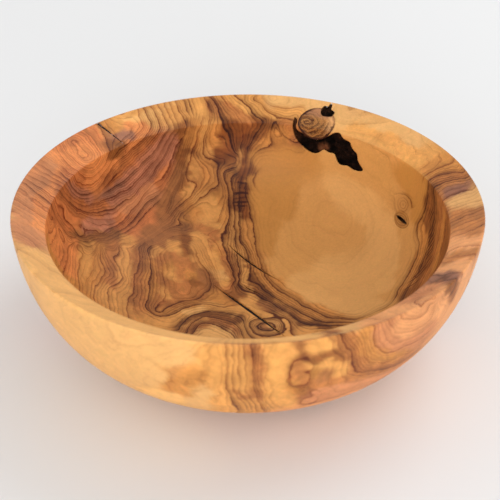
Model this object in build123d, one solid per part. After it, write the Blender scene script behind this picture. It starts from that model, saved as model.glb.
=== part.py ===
from build123d import *

import os
from math import atan2, cos, degrees, hypot, radians, sin

# A bowl turned from one block of olive wood, with the knots, the bark pockets and the filled drying
# cracks that the block holds. Millimetres, +Z up, origin at the centre of the ring the bowl stands on.
# Every inclusion fills its own cavity in the turned body, flush with the turned surface.

# Driving dimensions of the turned body
rim_radius = 125.0
bowl_height = 82.0
rim_width = 17.5
rim_drop = 9.4
floor_thickness = 12.0
flat_floor_radius = 30.0
foot_radius = 0.4 * rim_radius
foot_ring_width = 9.0
foot_recess_depth = 1.5
rim_edge_rounding = 0.9
arris_rounding = 0.4

# The arris is the crisp inner edge of the rim, where the inside wall begins.
arris_distance = rim_radius - rim_width
arris_height = bowl_height - rim_drop

# The rounding takes these shares of its radius off the sharp outer corner, outwards and upwards.
corner_distance = rim_radius + 0.12 * rim_edge_rounding
corner_height = bowl_height + 0.74 * rim_edge_rounding

# Control points of the outer and the inner curve, as (distance from the axis, height)
outer_belly = (0.97 * rim_radius, 0.34 * bowl_height)
outer_heel = (0.68 * rim_radius, 0.0)
inner_belly = (0.844 * rim_radius, 0.415 * bowl_height)
inner_heel = (0.656 * rim_radius, floor_thickness)

# The dead branch knot runs right through the rim, square to a plane that faces the bowl's middle.
knot_azimuth = 68.0
knot_tilt = 35.0
knot_distance = 113.0
knot_offset = (-0.9, -2.3)
knot_front_radius = 11.6
knot_back_radius = 9.4
knot_flatness = 0.87
knot_length = 40.0
knot_reach = 10.0
lower_bark_depth = 9.0
upper_bark_depth = 9.0

# The small knot in the right-hand wall, and its slit
wall_knot_azimuth = 28.0
wall_knot_share = 0.715
wall_knot_size = (14.0, 9.0)
wall_knot_depth = 7.0
wall_slit_size = (10.0, 2.0)
wall_slit_depth = 2.5

# Cracks: where they start and end, how far the middle bows to the left, and the widest gap.
# The rim crack narrows inwards and ends a little way inside the arris.
rim_crack_azimuths = (135.9, 130.6)
rim_crack_mouth = 2.8
rim_crack_depth = 6.0
rim_crack_overlap = 3.5
floor_crack_depth = 6.0
upper_crack_ends = ((-12.5, 63.0), (18.5, 28.5))
upper_crack_bow = -0.6
upper_crack_gap = 1.5
lower_crack_ends = ((-20.5, 26.0), (21.5, -26.0))
lower_crack_bow = 0.4
lower_crack_gap = 2.2
link_crack_ends = ((-2.5, 24.6), (6.0, 16.6))
link_crack_bow = -0.4
link_crack_gap = 1.1

tool_overrun = 10.0


def inner_curve():
    """Half the hollow's section below the rim, from the edge of the flat floor up to the arris."""
    floor_edge = (flat_floor_radius, floor_thickness)
    return Bezier(floor_edge, inner_heel, inner_belly, (arris_distance, arris_height))


def turned_body():
    """The bowl as it leaves the lathe: half its section, turned about Z."""
    corner = (corner_distance, corner_height)
    foot_inner_radius = foot_radius - foot_ring_width
    outer_curve = Bezier(corner, outer_belly, outer_heel, (foot_radius, 0))
    underside = Polyline(
        (foot_radius, 0),
        (foot_inner_radius, 0),
        (foot_inner_radius - foot_recess_depth, foot_recess_depth),
        (0, foot_recess_depth),
        (0, floor_thickness),
        (flat_floor_radius, floor_thickness),
    )
    rim = Line((arris_distance, arris_height), corner)
    section = make_face(outer_curve + underside + inner_curve() + rim)
    body = revolve(Plane.XZ * section, Axis.Z, 360)
    rings = body.edges().filter_by(GeomType.CIRCLE)
    body = fillet(rings.sort_by(Axis.Z)[-1], rim_edge_rounding)
    rings = body.edges().filter_by(GeomType.CIRCLE)
    return fillet(rings.sort_by(arris_mismatch)[0], arris_rounding)


def arris_mismatch(ring):
    """How far a ring of the body is from the arris, in radius and in height."""
    return abs(ring.radius - arris_distance) + abs(ring.center().Z - arris_height)


def outward_plane(azimuth, distance, height, tilt):
    """A plane in the wall that faces the bowl's axis, turned up by tilt; its X runs clockwise from above."""
    turn = radians(azimuth)
    rise = radians(tilt)
    centre = (distance * cos(turn), distance * sin(turn), height)
    sideways = (sin(turn), -cos(turn), 0)
    facing = (-cos(rise) * cos(turn), -cos(rise) * sin(turn), sin(rise))
    return Plane(origin=centre, x_dir=sideways, z_dir=facing)


def knot_plane():
    """The plane of the rim knot: its centre lies on the sloping face of the rim."""
    height = arris_height + rim_drop * (knot_distance - arris_distance) / rim_width
    return outward_plane(knot_azimuth, knot_distance, height, knot_tilt)


def prism(plane, outline, depth):
    """The outline, drawn in the plane, as a solid from in front of the wood down to a depth behind it."""
    front = plane * Pos(0, 0, knot_reach) * make_face(outline)
    return extrude(front, amount=-(knot_reach + depth), dir=plane.z_dir)


def knot_tool():
    """The rim knot's own shape: an oval peg of wood, thinner towards the outside of the bowl."""
    peg = Cone(
        knot_back_radius,
        knot_front_radius,
        knot_length,
        align=(Align.CENTER, Align.CENTER, Align.MAX),
    )
    oval_peg = scale(peg, by=(1, knot_flatness, 1))
    return knot_plane() * Pos(*knot_offset, knot_reach) * oval_peg


def lower_bark_tool():
    """A crescent under the knot, with a thin arm on the left and a ragged lobe down the inside wall."""
    outline = Spline(
        (-15.0, -1.5),
        (-14.6, -7.0),
        (-12.6, -12.4),
        (-6.9, -17.2),
        (-0.6, -19.6),
        (2.8, -18.7),
        (5.8, -16.6),
        (9.2, -17.6),
        (12.3, -17.7),
        (14.5, -20.9),
        (17.6, -23.3),
        (21.6, -23.2),
        (25.6, -24.6),
        (32.4, -24.2),
        (28.6, -19.6),
        (27.2, -15.6),
        (23.8, -12.8),
        (22.0, -9.8),
        (18.2, -8.6),
        (15.0, -5.9),
        (11.6, -6.2),
        (7.0, -8.6),
        (0.0, -9.0),
        (-8.0, -9.4),
        (-12.0, -7.8),
        (-13.8, -1.8),
        periodic=True,
    )
    return prism(knot_plane(), outline, lower_bark_depth)


def upper_bark_tool():
    """The small ragged patch over the knot's upper right edge."""
    outline = Spline(
        (0.0, 3.1),
        (-1.0, 6.6),
        (0.2, 9.0),
        (2.2, 9.2),
        (3.4, 11.4),
        (4.6, 9.6),
        (5.0, 7.4),
        (7.2, 6.4),
        (7.0, 3.8),
        (3.8, 2.6),
        periodic=True,
    )
    return prism(knot_plane(), outline, upper_bark_depth)


def wall_knot_plane():
    """The plane touching the inside wall at the small knot."""
    place = inner_curve() @ wall_knot_share
    slope = inner_curve() % wall_knot_share
    return outward_plane(wall_knot_azimuth, place.X, place.Y, degrees(atan2(slope.X, slope.Y)))


def lens(length, width):
    """A pointed oval, along X, made of two arcs."""
    left, right = (-length / 2, 0), (length / 2, 0)
    return ThreePointArc(left, (0, width / 2), right) + ThreePointArc(right, (0, -width / 2), left)


def wall_knot_tool():
    """The small knot: a short oval peg."""
    long_side, short_side = wall_knot_size
    return prism(wall_knot_plane(), Ellipse(long_side / 2, short_side / 2).edge(), wall_knot_depth)


def wall_slit_tool():
    """The open slit in the small knot."""
    return prism(wall_knot_plane(), lens(*wall_slit_size), wall_slit_depth)


def rim_crack_tool():
    """A wedge across the rim: widest at the outer edge, closing to nothing below the arris."""
    start, end = (radians(azimuth) for azimuth in rim_crack_azimuths)
    outside = rim_radius + tool_overrun
    inside = arris_distance - rim_crack_overlap
    mouth_turn = rim_crack_mouth / 2 / rim_radius
    tip = (inside * cos(end), inside * sin(end))
    corners = [
        (outside * cos(start + side * mouth_turn), outside * sin(start + side * mouth_turn))
        for side in (1, -1)
    ]
    outline = Polyline(tip, *corners, close=True)
    base = Pos(0, 0, arris_height - rim_crack_depth) * make_face(outline)
    return extrude(base, amount=rim_crack_depth + rim_drop + tool_overrun, dir=(0, 0, 1))


def floor_crack_tool(ends, bow, gap):
    """An upright blade through the floor's top, between two arcs that meet at both ends."""
    (start_x, start_y), (end_x, end_y) = ends
    length = hypot(end_x - start_x, end_y - start_y)
    heading = degrees(atan2(end_y - start_y, end_x - start_x))
    left = ThreePointArc((0, 0), (length / 2, bow + gap / 2), (length, 0))
    right = ThreePointArc((length, 0), (length / 2, bow - gap / 2), (0, 0))
    blade = extrude(make_face(left + right), amount=bowl_height)
    return Pos(start_x, start_y, floor_thickness - floor_crack_depth) * Rot(0, 0, heading) * blade


def split(wood, tool):
    """Cuts the tool's shape out of the wood: what is left, and the piece that fills the gap."""
    return wood - tool, wood & tool


def build_pieces():
    """Every piece of the bowl by node name."""
    pieces = {}
    body, pieces["rim_crack_fill"] = split(turned_body(), rim_crack_tool())
    floor_cracks = {
        "floor_crack_fill_upper": (upper_crack_ends, upper_crack_bow, upper_crack_gap),
        "floor_crack_fill_lower": (lower_crack_ends, lower_crack_bow, lower_crack_gap),
        "floor_crack_fill_link": (link_crack_ends, link_crack_bow, link_crack_gap),
    }
    for name, crack in floor_cracks.items():
        body, pieces[name] = split(body, floor_crack_tool(*crack))
    body, wall_knot = split(body, wall_knot_tool())
    pieces["wall_knot"] = wall_knot - wall_slit_tool()
    body, pieces["knot_bark_upper"] = split(body, upper_bark_tool())
    body, pieces["rim_knot"] = split(body, knot_tool())
    pieces["bowl_body"], pieces["knot_bark_lower"] = split(body, lower_bark_tool())
    return pieces


os.makedirs("parts", exist_ok=True)
for node, piece in build_pieces().items():
    export_step(piece.solid(), f"parts/{node}.step")
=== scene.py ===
import math
from functools import partial, reduce

import bmesh
import bpy
import numpy as np
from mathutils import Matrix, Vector, noise


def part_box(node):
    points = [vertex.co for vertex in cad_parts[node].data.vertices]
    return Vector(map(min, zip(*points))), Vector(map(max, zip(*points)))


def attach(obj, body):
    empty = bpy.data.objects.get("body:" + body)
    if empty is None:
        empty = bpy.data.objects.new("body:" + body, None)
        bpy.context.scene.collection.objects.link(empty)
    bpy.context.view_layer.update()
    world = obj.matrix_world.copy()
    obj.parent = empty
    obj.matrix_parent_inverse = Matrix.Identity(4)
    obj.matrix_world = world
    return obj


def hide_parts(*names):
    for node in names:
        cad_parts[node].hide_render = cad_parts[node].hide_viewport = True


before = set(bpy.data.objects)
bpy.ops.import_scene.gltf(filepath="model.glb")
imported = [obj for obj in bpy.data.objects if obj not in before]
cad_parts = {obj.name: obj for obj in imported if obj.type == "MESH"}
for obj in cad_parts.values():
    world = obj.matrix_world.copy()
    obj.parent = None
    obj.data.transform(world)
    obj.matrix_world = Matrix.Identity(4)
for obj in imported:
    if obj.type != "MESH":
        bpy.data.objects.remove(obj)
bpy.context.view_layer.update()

# A bowl turned from one block of olive wood. Lengths are metres, except in the drawings of the wood's
# figure, which are in millimetres.
#
# The figure is drawn as growth lines, each with a level. A smooth field takes those levels through the
# whole surface, and the material darkens the wood where the field passes a whole number. Patches of
# named tones colour the ground between the lines.

MM = 0.001

# ---------------------------------------------------------------- the turned section

body_low, body_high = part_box("bowl_body")
RIM_RADIUS = body_high.x
HEIGHT = body_high.z
RIM_WIDTH = 0.14 * RIM_RADIUS
RIM_DROP = 0.0752 * RIM_RADIUS
FLOOR = 12 * MM
FLAT_FLOOR = 0.24 * RIM_RADIUS
FOOT = 0.4 * RIM_RADIUS
FOOT_INNER = 0.328 * RIM_RADIUS
FOOT_RECESS = 1.5 * MM
EDGE_ROUNDING = 0.9 * MM
ARRIS_ROUNDING = 0.4 * MM

# Points on each free curve and on each rounding
CURVE_STEPS = 500
ARRIS_STEPS = 5
EDGE_STEPS = 9


def bezier(points, steps):
    """Points along a Bezier curve of any degree."""
    share = np.linspace(0, 1, steps)[:, None]
    layer = [np.array([point], float) for point in points]
    while len(layer) > 1:
        layer = [a * (1 - share) + b * share for a, b in zip(layer, layer[1:])]
    return layer[0]


def toward(start, end, distance):
    """The point at a distance from start on the way to end."""
    start, end = np.array(start, float), np.array(end, float)
    return start + (end - start) * distance / np.linalg.norm(end - start)


def section():
    """Half the bowl's section as (distance from the axis, height): from the floor's centre up the
    inside, over the rim, down the outside and in to the centre of the foot."""
    arris = (RIM_RADIUS - RIM_WIDTH, HEIGHT - RIM_DROP)
    corner = (RIM_RADIUS + 0.12 * EDGE_ROUNDING, HEIGHT + 0.74 * EDGE_ROUNDING)
    inner_heel = (0.656 * RIM_RADIUS, FLOOR)
    inner_belly = (0.844 * RIM_RADIUS, 0.415 * HEIGHT)
    outer_belly = (0.97 * RIM_RADIUS, 0.34 * HEIGHT)
    outer_heel = (0.68 * RIM_RADIUS, 0.0)
    inner = bezier(((FLAT_FLOOR, FLOOR), inner_heel, inner_belly, arris), CURVE_STEPS)
    outer = bezier((corner, outer_belly, outer_heel, (FOOT, 0.0)), CURVE_STEPS)
    edge_cut = 1.8 * EDGE_ROUNDING
    inner = inner[np.linalg.norm(inner - arris, axis=1) > ARRIS_ROUNDING]
    outer = outer[np.linalg.norm(outer - corner, axis=1) > edge_cut]
    arris_round = bezier((inner[-1], arris, toward(arris, corner, ARRIS_ROUNDING)), ARRIS_STEPS)
    edge_round = bezier((toward(corner, arris, edge_cut), corner, outer[0]), EDGE_STEPS)
    foot = [(FOOT_INNER, 0.0), (FOOT_INNER - FOOT_RECESS, FOOT_RECESS), (0.0, FOOT_RECESS)]
    return np.vstack([[(0.0, FLOOR)], inner, arris_round[1:], edge_round, outer[1:], foot])


def lengths(points):
    """The distance travelled along a row of points, at each of them."""
    return np.r_[0, np.cumsum(np.linalg.norm(np.diff(points, axis=0), axis=1))]


SECTION = section()
ALONG = lengths(SECTION)


def place_of(corner):
    """The distance along the section of the point nearest to a corner of it."""
    return ALONG[np.linalg.norm(SECTION - corner, axis=1).argmin()]


ARRIS_PLACE = place_of((RIM_RADIUS - RIM_WIDTH, HEIGHT - RIM_DROP))
RIM_PLACE = place_of((RIM_RADIUS, HEIGHT))
FOOT_PLACE = place_of((FOOT, 0.0))


def ball(place, angle):
    """The bowl's surface unrolled onto a ball in millimetres, with the floor's centre at its top. Distances
    on the ball are close to those on the bowl, so the figure's fields are worked out there."""
    total = ALONG[-1] / MM
    polar = math.pi * place / MM / total
    sideways = total / math.pi * np.sin(polar)
    up = total / math.pi * np.cos(polar)
    return np.stack([sideways * np.cos(angle), sideways * np.sin(angle), up], -1)


def inside(points):
    """A drawing on the inside and the rim, laid flat: x right and y back, from the floor's centre."""
    flat = np.array(points, float)
    return np.hypot(flat[:, 0], flat[:, 1]) * MM, np.arctan2(flat[:, 1], flat[:, 0])


def outside(points):
    """A drawing on the outside: degrees about the axis, and millimetres down from the rim's edge."""
    wall = np.array(points, float)
    return RIM_PLACE + wall[:, 1] * MM, np.radians(wall[:, 0])


def trace(drawing, step):
    """Points on the ball along a drawing, about a step apart."""
    corners = ball(*drawing)
    gaps = lengths(corners)
    count = max(2, int(round(gaps[-1] / step)) + 1)
    stops = np.linspace(0, gaps[-1], count)
    return np.stack([np.interp(stops, gaps, corners[:, axis]) for axis in range(3)], -1)


# ---------------------------------------------------------------- the drawn figure

# Growth lines: level, how dark the line is drawn, and the points of its course. The faint lines with a
# part level are not seen: they only steer the field between their neighbours.
INSIDE_LINES = (
    # the lobe on the left
    (5, 1.0, (-50, 152), (-43, 137), (-47, 115), (-51, 100), (-57, 88), (-65, 79), (-71, 66), (-77, 56),
     (-85, 46), (-95, 37), (-100, 32), (-110, 27), (-125, 23), (-140, 18), (-155, 28)),
    (4, 0.5, (-56, 150), (-48, 132), (-53, 113), (-58, 102), (-65, 90), (-70, 76), (-80, 59), (-88, 49),
     (-98, 42), (-110, 36), (-125, 31), (-138, 28)),
    (3, 0.7, (-60, 149), (-53, 131), (-60, 110), (-66, 95), (-75, 80), (-85, 68), (-95, 58), (-110, 48),
     (-125, 43), (-138, 38), (-152, 38)),
    (1, 0.7, (-70, 145), (-60, 130), (-68, 112), (-78, 95), (-88, 80), (-97, 70), (-102, 62), (-110, 54),
     (-122, 49), (-133, 46), (-150, 50)),
    (-1, 0.9, (-80, 140), (-73, 128), (-82, 112), (-92, 97), (-96, 88), (-99, 75), (-103, 67), (-110, 59),
     (-122, 54), (-132, 53)),
    (-2, 0.6, (-84, 138), (-80, 124), (-90, 110), (-97, 98), (-100, 86), (-103, 76), (-110, 66), (-122, 60),
     (-132, 60)),
    (-3, 0.5, (-112, 118), (-104, 98), (-104, 85), (-107, 76), (-114, 69), (-122, 66), (-132, 68)),
    (-4, 0.4, (-120, 100), (-112, 92), (-110, 84), (-115, 76), (-122, 72), (-132, 78)),
    (-5, 0.3, (-130, 90), (-122, 88), (-118, 84), (-124, 80)),
    # between the lobe and the left-hand front
    (5, 0.5, (-160, 5), (-142, -2), (-132, 0), (-129, 8), (-127, 16)),
    (6, 0.5, (-158, 20), (-142, 12), (-123, 20), (-116, 22), (-111, 14), (-110, 0), (-112, -20)),
    (7, 0.6, (-103, 28), (-101, 20), (-99, 10), (-98, 0), (-98, -20)),
    (8, 0.6, (-88, 40), (-87, 30), (-83, 22), (-84, 12), (-88, 0), (-86, -20)),
    (9, 0.7, (-76, 47), (-75, 40), (-77, 33), (-74, 27), (-72, 20), (-75, 13), (-79, 10), (-76, -10)),
    (10, 0.6, (-64, 50), (-63, 40), (-65, 25), (-64, 12), (-66, 0), (-64, -20)),
    (11, 0.9, (-59, 50), (-58, 42), (-56, 30), (-56, 8), (-57, 0), (-50, -7), (-42, -6), (-38, -2),
     (-36, 2), (-32, 3), (-29, 5), (-22, 5), (-14, 2)),
    # the top, left of the dark band
    (8, 0.7, (-41, 137), (-41, 130), (-42, 120), (-44, 110), (-46, 100), (-50, 88)),
    (9, 0.7, (-36, 137), (-37, 128), (-39, 116), (-35, 110), (-33, 100), (-38, 90), (-46, 80)),
    (10, 0.8, (-31, 138), (-32, 128), (-32, 117), (-26, 117), (-21, 113), (-19, 109), (-18, 101), (-25, 97),
     (-31, 92), (-38, 84), (-42, 78), (-38, 71)),
    (11, 1.0, (-28, 157), (-22, 148), (-17, 140), (-14, 133), (-12.5, 126), (-10, 121), (-6, 118.5),
     (-6, 115), (-10, 112.5), (-15, 111), (-15, 107), (-12, 99), (-12, 88), (-13, 75), (-15, 66),
     (-13.5, 57), (-11, 47), (-8.5, 38), (-7, 30)),
    # the dark band and the disc's edge
    (12, 1.1, (-11, 106), (-9.5, 98), (-9, 92), (-8, 87), (-8.5, 75), (-7.5, 65), (-6.5, 50), (-5, 42),
     (-5, 35), (-6, 28), (-4, 22), (4, 17), (8, 12), (12, 7), (17, 2), (22, -3), (28, -11), (33, -13),
     (42, -15), (50, -17), (60, -18)),
    (13, 0.9, (-8, 160), (-2, 155), (3, 150), (8, 145), (12, 142), (9, 137), (5, 131), (0, 124), (-2, 115),
     (-5, 100), (-5.5, 85), (-6, 78), (-5, 66), (-2, 58), (0, 50), (2, 42), (3, 35), (5, 28), (8, 23),
     (13, 14), (20, 6), (27, 0), (33, -6), (40, -11), (55, -15)),
    (14, 0.8, (5, 158), (12, 152), (17, 146), (23, 144), (36, 139), (38, 124), (33, 127), (28, 129),
     (24, 128), (18, 126), (13, 124), (8, 124), (3, 121), (1, 114), (-1, 106), (-1, 98), (0, 90), (2, 76),
     (3, 62), (6, 50), (8, 43), (10, 36), (12, 30), (16, 22), (20, 16), (26, 10), (32, 4), (40, -3),
     (47, -9), (60, -13), (75, -10), (83, -5), (84, 0), (88, 5), (94, 12), (99, 18), (103, 23), (105, 30),
     (107, 38), (113, 39), (120, 41), (130, 47), (134, 52), (148, 47), (154, 43)),
    (15, 0.12, (16, 92), (12, 76), (14, 60), (22, 42), (34, 26), (50, 16), (68, 16), (84, 26), (93, 44),
     (96, 66), (88, 92), (72, 106)),
    (16, 0.12, (30, 92), (25, 78), (28, 60), (40, 44), (54, 38), (70, 46), (78, 62), (76, 84), (62, 96)),
    (14, 0.9, (97.5, 62), (101, 63.5), (105, 60), (105.5, 56), (102, 54.5), (98, 57), (97.5, 62)),
    (12, 0.3, (101, 60), (102, 58)),
    (17, 0.1, (42, 82), (40, 72), (48, 62), (58, 62), (64, 72), (58, 84), (48, 86)),
    (15, 0.3, (11, 160), (13, 157), (17, 152), (26, 150), (40, 150)),
    (16, 0.3, (102, 124), (93, 126), (88, 130), (84, 136)),
    # the wedge left of the rim knot
    (14, 0.9, (37, 141), (28, 142), (23, 142), (23, 139), (25.5, 134), (29, 130), (32, 127.5), (36, 124),
     (38, 122)),
    (11, 0.2, (33, 136), (34, 133)),
    # the bends in the middle
    (12, 0.8, (-30, 52), (-27, 44), (-23, 39), (-21.5, 32), (-20.5, 24), (-21.5, 19), (-25, 14), (-29, 10),
     (-36, 8), (-44, 3), (-50, -3)),
    (12, 0.4, (-52, 46), (-50, 38), (-49, 30), (-47, 22), (-46, 14)),
    (12.6, 0.1, (-44, 52), (-41, 38), (-39, 26), (-37, 18)),
    (12.4, 0.1, (-35, 58), (-31, 44), (-29, 30), (-29, 20)),
    (10.6, 0.1, (-22, 62), (-18, 50), (-16, 40), (-14, 30), (-13, 24)),
    # the nested arches at the bottom
    (10, 0.9, (-37, -18), (-35, -13), (-33, -9), (-30, -5), (-24, -2), (-20, -1), (-15, -2), (-10, -3),
     (-6, -6), (-3, -10)),
    (9, 0.9, (-34, -24), (-31, -14), (-27, -8), (-23, -6), (-20, -7), (-15, -9), (-10, -11), (-6, -14),
     (-4, -19), (-3, -26)),
    (8, 0.9, (-31, -24), (-29, -18), (-25, -13), (-20, -13), (-15, -15), (-11, -19), (-8, -24)),
    # the eye
    (11, 1.0, (1, -12), (4, -8), (10, -7), (16, -7), (19, -10), (19, -17), (18, -22), (12, -24), (5, -23),
     (2, -18), (1, -12)),
    (12, 1.0, (6, -13), (10, -11), (14, -13), (14, -17), (10, -19), (6, -17), (6, -13)),
    (11, 0.7, (22, -8), (24, -12), (25, -18), (27, -24)),
    # the dark patch on the right
    (13, 0.8, (88, -7), (95, 2), (103, 8), (110, 15), (120, 25), (130, 35), (135, 42), (145, 41),
     (156, 35)),
    (12, 0.6, (96, -12), (104, -3), (113, 3), (124, 12), (134, 22), (142, 26), (158, 22)),
    (11, 0.5, (104, -20), (112, -12), (122, -3), (132, 5), (139, 10), (160, 5)),
    (10, 0.4, (112, -30), (122, -20), (134, -10), (142, -7), (160, -10)),
    (15, 0.5, (130, 57), (140, 58), (147, 54), (152, 50)),
    (9, 0.3, (132, -28), (142, -26), (158, -32)),
    (8, 0.5, (136, -46), (142, -50), (150, -58)),
    # the rim at the front
    (3, 0.3, (-155, -32), (-145, -38), (-137, -47), (-125, -55)),
    (2, 0.3, (-150, -52), (-140, -62), (-130, -70), (-122, -77), (-110, -85)),
    (1, 0.2, (-120, -108), (-106, -100), (-90, -95)),
    (1, 0.4, (-14, -160), (-12, -145), (-14, -120), (-16, -90)),
    (4, 0.3, (-3, -160), (-3, -145), (-5, -120), (-8, -90), (-12, -50)),
    (7, 0.9, (56, -151), (50, -143), (45, -137), (36, -110), (30, -80)),
    (10, 0.6, (85, -135), (80, -128), (72, -118), (66, -100), (60, -70)),
    (10, 0.5, (119, -108), (115, -103), (110, -98), (100, -80)),
    (9, 0.7, (133, -92), (126, -82), (122, -72), (112, -60)),
    (12, 0.7, (109, -120), (105, -116), (105, -110), (110, -106), (116, -106), (119, -110)),
)

OUTSIDE_LINES = (
    (-1, 0.1, (-150, 5), (-146, 30), (-140, 60), (-135, 90)),
    (0.4, 0.1, (-98, 3), (-98, 20), (-99, 40), (-98, 60)),
    (0, 0.25, (-106, 20), (-109, 32), (-114, 44), (-120, 55)),
    (1, 0.8, (-95, 0), (-94.8, 20), (-95, 30), (-94, 45), (-93, 60), (-93, 75)),
    (2, 0.8, (-93.5, 0), (-93.3, 12), (-93.9, 22), (-93.2, 32), (-92.3, 40), (-90.7, 50), (-90, 60),
     (-90, 75)),
    (3, 0.8, (-92.4, 0), (-92.5, 14), (-91.8, 24), (-92, 34), (-90.8, 44), (-89.4, 52), (-89, 70)),
    (4, 0.75, (-91, 0), (-91, 10), (-90.5, 22), (-90.6, 32), (-89.5, 42), (-88, 50), (-87.5, 70)),
    (5, 0.7, (-89.3, 0), (-89.4, 16), (-88.7, 30), (-87.8, 44), (-86, 56), (-85, 72)),
    (6, 0.6, (-79.8, 0), (-79.7, 12), (-79.4, 20), (-78.4, 27), (-77, 36), (-76, 46), (-74, 60)),
    (7, 0.7, (-70, 0), (-69, 8), (-67, 15), (-66, 22), (-64, 30), (-61, 34), (-57, 38), (-52, 42),
     (-45, 44), (-36, 40)),
    (8, 0.4, (-67, 0), (-65, 10), (-63, 20), (-60, 28), (-54, 33), (-46, 36), (-38, 32)),
    (9, 0.5, (-62, 0), (-61, 12), (-58, 21), (-52, 26), (-45, 28), (-38, 22), (-34.5, 0)),
    (10, 0.45, (-57.5, 0), (-55, 9), (-50, 15), (-44, 14), (-42, 0)),
    (11, 0.6, (-54, 2), (-50, 7), (-46, 7), (-45, 2)),
    (6, 0.5, (-68, 55), (-58, 60), (-48, 60), (-38, 56)),
    (5, 0.4, (-70, 75), (-58, 80), (-44, 80)),
)

# Where the lines on the rim's far half carry on down the outside: degrees about the axis, and level.
REAR_LINES = (
    (-20, 8), (-10, 9), (-3, 10), (3, 11), (9, 12), (14, 13), (18, 14), (32, 15), (60, 16), (76, 15),
    (87, 14), (92, 13), (97, 12), (101, 11), (109, 5), (112, 3), (116, 1), (120, -1), (126, -2),
    (134, -3), (141, -4), (150, -3), (158, -1), (162, 1), (166, 3), (170, 5), (174, 6), (178, 5),
    (184, 4), (192, 3), (200, 2), (212, 1),
)
REAR_STRENGTH = 0.5
REAR_LEAN = 6

# Tones of the ground: red, green, blue as seen (0 to 255), and how strongly the fine figure shows.
TONES = {
    "light": (226, 170, 100, 0.25),
    "cream": (212, 160, 98, 0.25),
    "pale_tan": (220, 163, 94, 0.06),
    "tan": (208, 149, 80, 0.06),
    "dull_tan": (192, 132, 62, 0.08),
    "gold": (206, 145, 76, 0.5),
    "amber": (186, 124, 60, 0.7),
    "orange": (212, 132, 72, 0.6),
    "rust": (190, 114, 62, 0.8),
    "deep_orange": (172, 102, 54, 1.0),
    "pink": (190, 124, 78, 0.5),
    "rose": (220, 152, 96, 0.3),
    "purple": (166, 106, 76, 1.0),
    "mauve": (142, 94, 70, 0.8),
    "brown": (168, 106, 54, 0.9),
    "grey_brown": (150, 95, 50, 0.8),
    "umber": (134, 80, 36, 0.9),
    "dark": (120, 64, 22, 0.9),
    "soot": (88, 46, 18, 0.8),
}

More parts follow.
